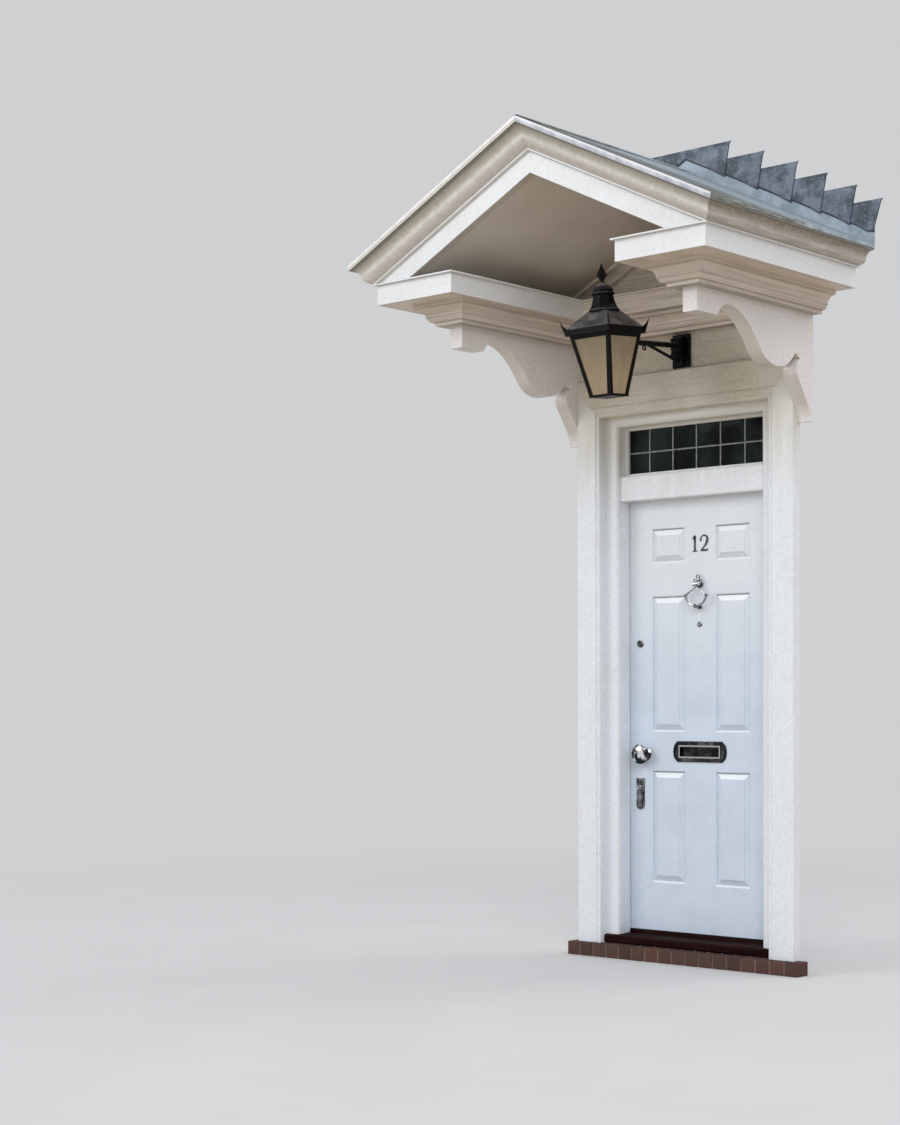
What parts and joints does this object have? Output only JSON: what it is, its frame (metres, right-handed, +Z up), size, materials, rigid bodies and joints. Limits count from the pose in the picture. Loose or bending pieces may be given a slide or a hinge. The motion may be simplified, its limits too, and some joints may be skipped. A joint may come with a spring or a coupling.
{
  "type": "entrance porch",
  "caption": "House entrance: panelled door, fanlight and timber surround under a gabled lead-roofed canopy on scrolled brackets, with a hanging lantern and brick step.",
  "frame": {"origin": "on the wall's outer face, on the opening's centre line, at paving level", "axes": "+Z up, +Y into the house, +X along the wall to the right seen from outside"},
  "size_m": [2.06, 1.3042, 3.627],
  "materials": {
    "white_paint": "white gloss paint on timber, slightly weathered",
    "ceiling_paint": "white satin paint on boards",
    "door_paint": "white gloss paint",
    "sill_paint": "dark oxblood gloss on hardwood",
    "bare_timber": "sawn softwood",
    "brick": "red-brown facing brick",
    "roof_lead": "weathered milled lead",
    "flashing_lead": "darker weathered lead",
    "black_metal": "black satin paint",
    "lantern_glass": "frosted amber glass",
    "window_glass": "dark leaded glass",
    "chrome": "polished chrome"
  },
  "bodies": {
    "porch": {"brick_step": "brick", "door_sill": "sill_paint", "left_jamb": "white_paint", "right_jamb": "white_paint", "frame_head": "white_paint", "transom_rail": "white_paint", "fanlight_glass": "window_glass", "fanlight_beads": "white_paint", "left_pilaster": "white_paint", "right_pilaster": "white_paint", "header_board": "white_paint", "frieze_board": "white_paint", "wall_bed_mould": "white_paint", "wall_corona": "white_paint", "left_bracket": "white_paint", "right_bracket": "white_paint", "left_bed_mould": "white_paint", "right_bed_mould": "white_paint", "left_cornice": "white_paint", "right_cornice": "white_paint", "left_rake_corona": "white_paint", "right_rake_corona": "white_paint", "left_rake_crown": "white_paint", "right_rake_crown": "white_paint", "left_eaves_crown": "white_paint", "right_eaves_crown": "white_paint", "left_ceiling": "ceiling_paint", "right_ceiling": "ceiling_paint", "rear_tympanum": "white_paint", "rear_rake_mould": "white_paint", "left_rafters": "bare_timber", "right_rafters": "bare_timber", "left_roof_boards": "bare_timber", "right_roof_boards": "bare_timber", "left_lead": "roof_lead", "right_lead": "roof_lead", "left_flashing": "flashing_lead", "right_flashing": "flashing_lead", "lantern_arm": "black_metal", "lantern_frame": "black_metal", "lantern_panes": "lantern_glass", "lantern_roof": "black_metal", "frame_hinges": "chrome"},
    "door": {"door_leaf": "door_paint", "door_knob": "chrome", "door_locks": "chrome", "letter_plate": "chrome", "door_viewer": "chrome", "knocker_plate": "chrome", "door_hinges": "chrome"},
    "letter_flap": {"letter_flap": "chrome"},
    "knocker": {"knocker_ring": "chrome"}
  },
  "joints": [
    {"name": "door_hinge", "type": "hinge", "parent": "porch", "child": "door", "pos_m": [0.4215, 0.141, 0.124], "axis": [0, 0, -1], "range_deg": [0, 90]},
    {"name": "letter_flap_hinge", "type": "hinge", "parent": "door", "child": "letter_flap", "pos_m": [0, 0.0965, 0.97], "axis": [1, 0, 0], "range_deg": [0, 65], "stiffness_Nm_per_rad": 0.06, "springref_deg": -34.38},
    {"name": "knocker_pivot", "type": "hinge", "parent": "door", "child": "knocker", "pos_m": [0, 0.06, 1.7], "axis": [-1, 0, 0], "range_deg": [0, 70]}
  ]
}
